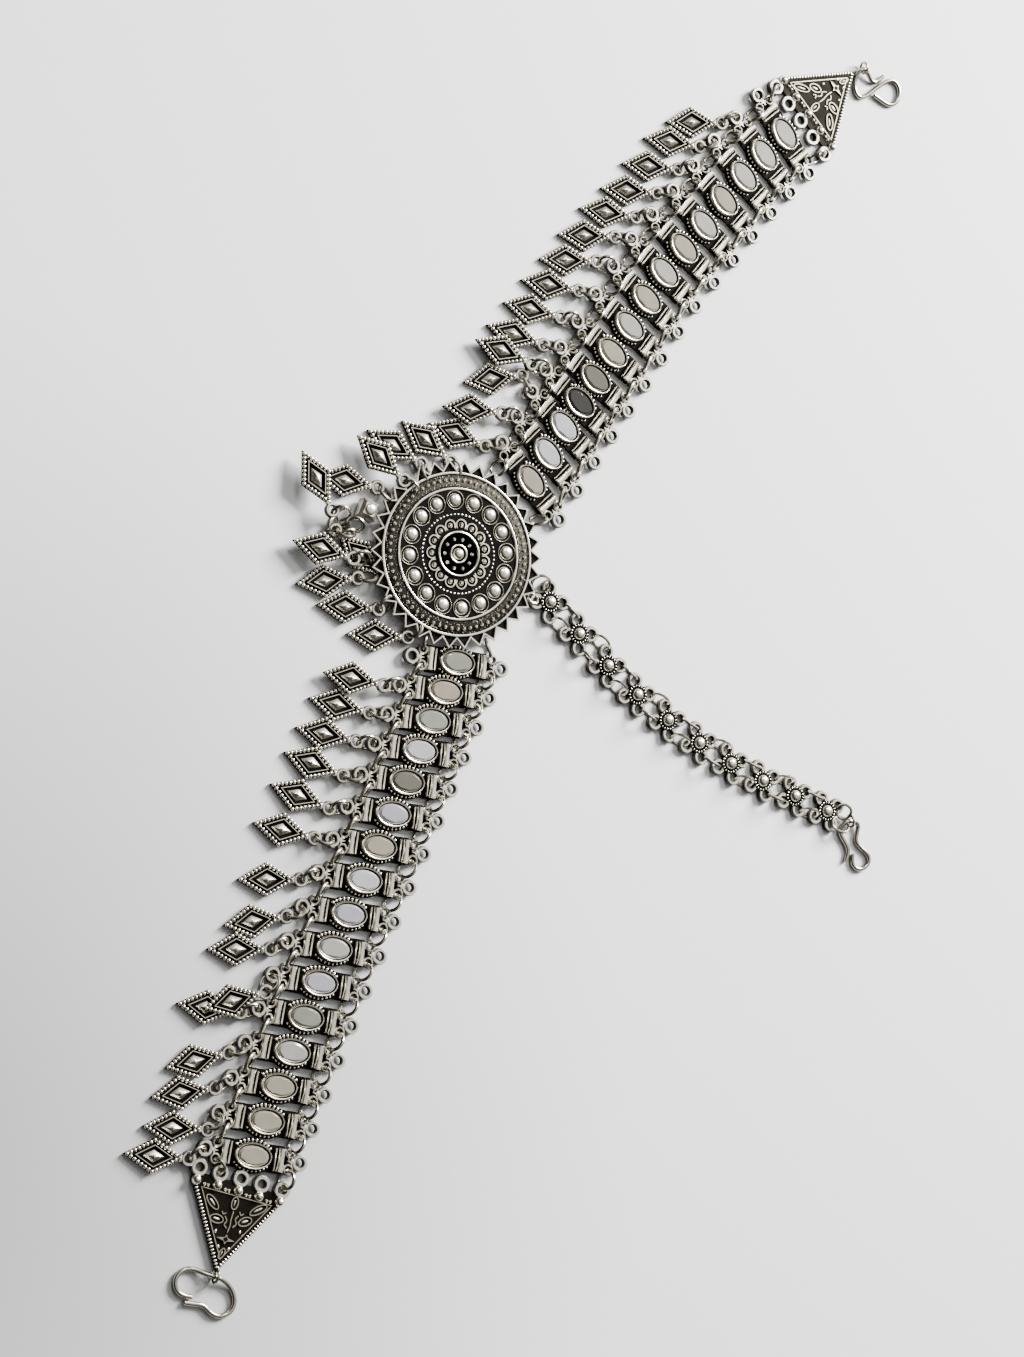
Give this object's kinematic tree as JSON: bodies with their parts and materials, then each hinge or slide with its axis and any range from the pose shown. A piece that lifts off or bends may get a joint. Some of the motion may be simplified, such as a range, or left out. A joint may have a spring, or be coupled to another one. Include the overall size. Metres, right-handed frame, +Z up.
{
  "type": "head ornament",
  "caption": "A maang tikka head ornament in oxidised silver metal with a round medallion, two bands of oval mirror links, rhombic drops and a flower chain.",
  "frame": {"origin": "on the table under the centre of the medallion, in the plane of its flat back", "axes": "+Y along the longer way across the ornament as it lies spread out, +X to the wearer's side that the parting chain points to, +Z up from the table, out of the medallion's face"},
  "size_m": [0.2219, 0.327, 0.0055],
  "materials": {
    "oxidised_silver": "oxidised and polished on the high spots",
    "plated_wire": "satin"
  },
  "bodies": {
    "root": {"cube_bead": "oxidised_silver", "lower_band": "oxidised_silver", "lower_drop_02": "oxidised_silver", "lower_drop_03": "oxidised_silver", "lower_drop_04": "oxidised_silver", "lower_drop_05": "oxidised_silver", "lower_drop_06": "oxidised_silver", "lower_drop_07": "oxidised_silver", "lower_drop_08": "oxidised_silver", "lower_drop_09": "oxidised_silver", "lower_drop_10": "oxidised_silver", "lower_drop_11": "oxidised_silver", "lower_drop_12": "oxidised_silver", "lower_drop_13": "oxidised_silver", "lower_drop_14": "oxidised_silver", "lower_drop_15": "oxidised_silver", "lower_drop_16": "oxidised_silver", "lower_end_plate": "oxidised_silver", "lower_hook": "plated_wire", "medallion": "oxidised_silver", "medallion_drop_01": "oxidised_silver", "medallion_drop_02": "oxidised_silver", "medallion_drop_03": "oxidised_silver", "medallion_drop_04": "oxidised_silver", "medallion_drop_05": "oxidised_silver", "medallion_drop_06": "oxidised_silver", "medallion_drop_07": "oxidised_silver", "medallion_drop_08": "oxidised_silver", "medallion_drop_09": "oxidised_silver", "medallion_drop_10": "oxidised_silver", "parting_chain": "oxidised_silver", "parting_hook": "plated_wire", "upper_band": "oxidised_silver", "upper_drop_01": "oxidised_silver", "upper_drop_02": "oxidised_silver", "upper_drop_03": "oxidised_silver", "upper_drop_04": "oxidised_silver", "upper_drop_05": "oxidised_silver", "upper_drop_06": "oxidised_silver", "upper_drop_07": "oxidised_silver", "upper_drop_08": "oxidised_silver", "upper_drop_09": "oxidised_silver", "upper_drop_10": "oxidised_silver", "upper_drop_11": "oxidised_silver", "upper_drop_12": "oxidised_silver", "upper_drop_13": "oxidised_silver", "upper_drop_14": "oxidised_silver", "upper_end_plate": "oxidised_silver", "upper_hook": "plated_wire"}
  },
  "joints": []
}
